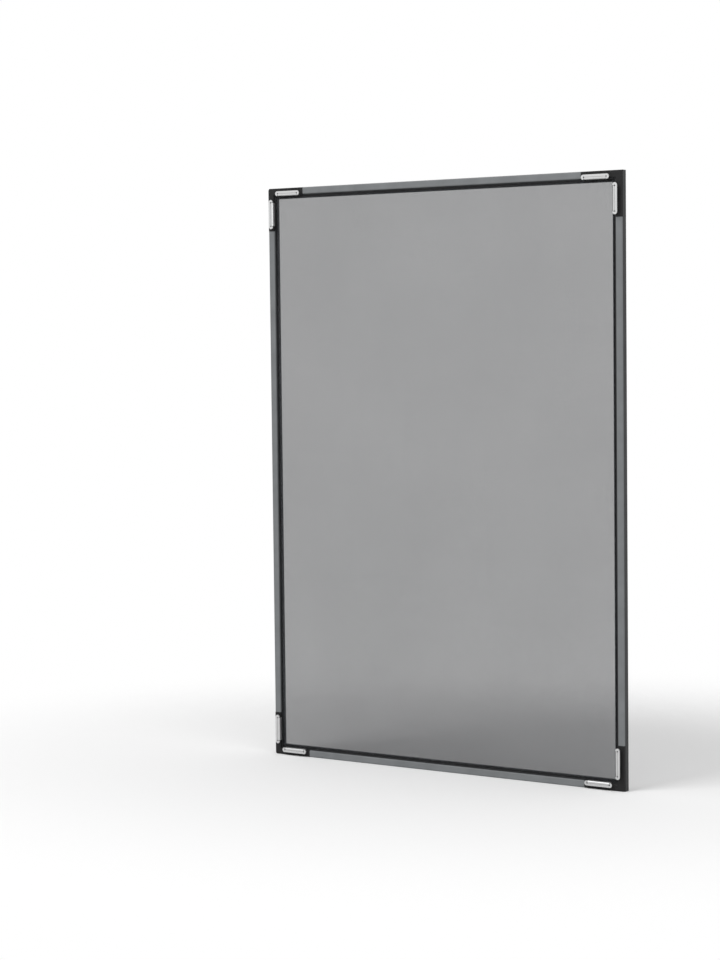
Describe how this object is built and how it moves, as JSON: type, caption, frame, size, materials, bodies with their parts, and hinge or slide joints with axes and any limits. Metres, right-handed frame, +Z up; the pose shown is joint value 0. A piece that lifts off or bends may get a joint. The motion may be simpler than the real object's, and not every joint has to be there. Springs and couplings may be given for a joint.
{
  "type": "pollen screen",
  "caption": "Slim dark window screen with a stretched fine pollen mesh, a grey sealing strip and pale metal hooks in pairs at its corners that hang it on the window's lip.",
  "frame": {"origin": "middle of the mesh, in the plane of the frame's room-side face", "axes": "+X to the right as seen from the room, +Y outdoors, +Z up"},
  "size_m": [0.773, 0.0235, 1.101],
  "materials": {
    "frame_coat": "fine black powder coat on extruded aluminium",
    "mesh_fabric": "see-through fine dark mesh",
    "spline_rubber": "soft black",
    "seal_rubber": "smooth grey",
    "pad_rubber": "matt black",
    "hook_steel": "bright satin stainless steel",
    "screw_steel": "plain steel",
    "key_aluminium": "as extruded"
  },
  "bodies": {
    "root": {"top_rail": "frame_coat", "bottom_rail": "frame_coat", "left_stile": "frame_coat", "right_stile": "frame_coat", "spline_top": "spline_rubber", "seal_top": "seal_rubber", "spline_bottom": "spline_rubber", "seal_bottom": "seal_rubber", "spline_left": "spline_rubber", "seal_left": "seal_rubber", "spline_right": "spline_rubber", "seal_right": "seal_rubber", "corner_key_top_left": "key_aluminium", "corner_pad_top_left": "pad_rubber", "corner_key_top_right": "key_aluminium", "corner_pad_top_right": "pad_rubber", "corner_key_bottom_left": "key_aluminium", "corner_pad_bottom_left": "pad_rubber", "corner_key_bottom_right": "key_aluminium", "corner_pad_bottom_right": "pad_rubber", "top_hook_left": "hook_steel", "top_hook_right": "hook_steel", "bottom_hook_left": "hook_steel", "bottom_hook_right": "hook_steel", "left_hook_upper": "hook_steel", "left_hook_lower": "hook_steel", "right_hook_upper": "hook_steel", "right_hook_lower": "hook_steel", "pollen_mesh": "mesh_fabric", "hook_screws": "screw_steel"}
  },
  "joints": []
}
